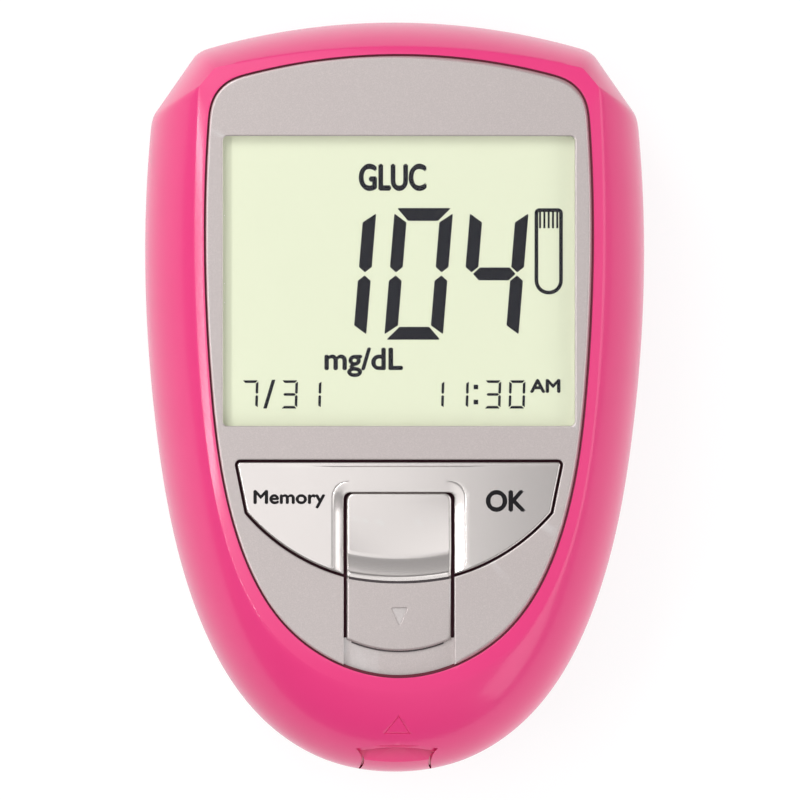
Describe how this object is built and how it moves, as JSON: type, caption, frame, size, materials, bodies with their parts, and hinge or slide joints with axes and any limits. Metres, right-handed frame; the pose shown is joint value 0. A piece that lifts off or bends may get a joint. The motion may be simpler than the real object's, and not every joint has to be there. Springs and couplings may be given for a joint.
{
  "type": "blood glucose meter",
  "caption": "Hand-held blood glucose meter with a wide display, a rocker key, a sliding strip ejector and a strip port at its narrow end.",
  "frame": {"origin": "middle of the flat resting face on the back, below the middle of the bounding box", "axes": "+Z out of the display, +Y towards the top of the display, +X to the right as one reads it; the meter lies on its back"},
  "size_m": [0.064, 0.096, 0.0249],
  "materials": {
    "pink_shell": "glossy moulded plastic",
    "silver_plastic": "satin silver paint on plastic",
    "clear_window": "clear acrylic",
    "display_glass": "reflective liquid crystal display",
    "white_plastic": "moulded plastic",
    "dark_rubber": "layered silicone",
    "board": "green solder mask",
    "black_plastic": "moulded plastic",
    "ceramic": "ceramic with tinned ends",
    "steel": "plated steel",
    "gold_contact": "gold plated",
    "cell_sleeve": "printed sleeve over the can"
  },
  "bodies": {
    "housing": {"front_cover": "pink_shell", "rear_cover": "pink_shell", "face_panel": "silver_plastic", "display_lens": "clear_window", "lcd_glass": "display_glass", "lcd_frame": "white_plastic", "zebra_strips": "dark_rubber", "main_board": "board", "microcontroller": "black_plastic", "memory_chip": "black_plastic", "crystal": "steel", "chip_components": "ceramic", "buzzer": "black_plastic", "key_switches": "black_plastic", "key_pin": "steel", "strip_connector": "black_plastic", "strip_contacts": "gold_contact", "battery_left": "cell_sleeve", "battery_right": "cell_sleeve", "battery_springs": "steel", "battery_contacts": "steel", "battery_bridge": "steel", "housing_screws": "steel", "board_screws": "steel"},
    "rocker": {"rocker_key": "silver_plastic"},
    "ejector": {"ejector_button": "silver_plastic", "ejector_carriage": "white_plastic", "ejector_screw": "steel", "ejector_springs": "steel"},
    "door": {"battery_door": "pink_shell"}
  },
  "joints": [
    {"name": "rocker_tilt", "type": "hinge", "parent": "housing", "child": "rocker", "pos_m": [0, -0.0099, 0.022], "axis": [0, 1, 0], "range_deg": [-1.5, 1.5], "stiffness_Nm_per_rad": 1},
    {"name": "eject_slide", "type": "slide", "parent": "housing", "child": "ejector", "axis": [0, -1, 0], "range_m": [0, 0.0026], "stiffness_N_per_m": 400, "springref_m": -0.0015, "deforming": ["ejector_springs"]},
    {"name": "door_hinge", "type": "hinge", "parent": "housing", "child": "door", "pos_m": [0, -0.01565, 0], "axis": [-1, 0, 0], "range_deg": [0, 75]}
  ]
}
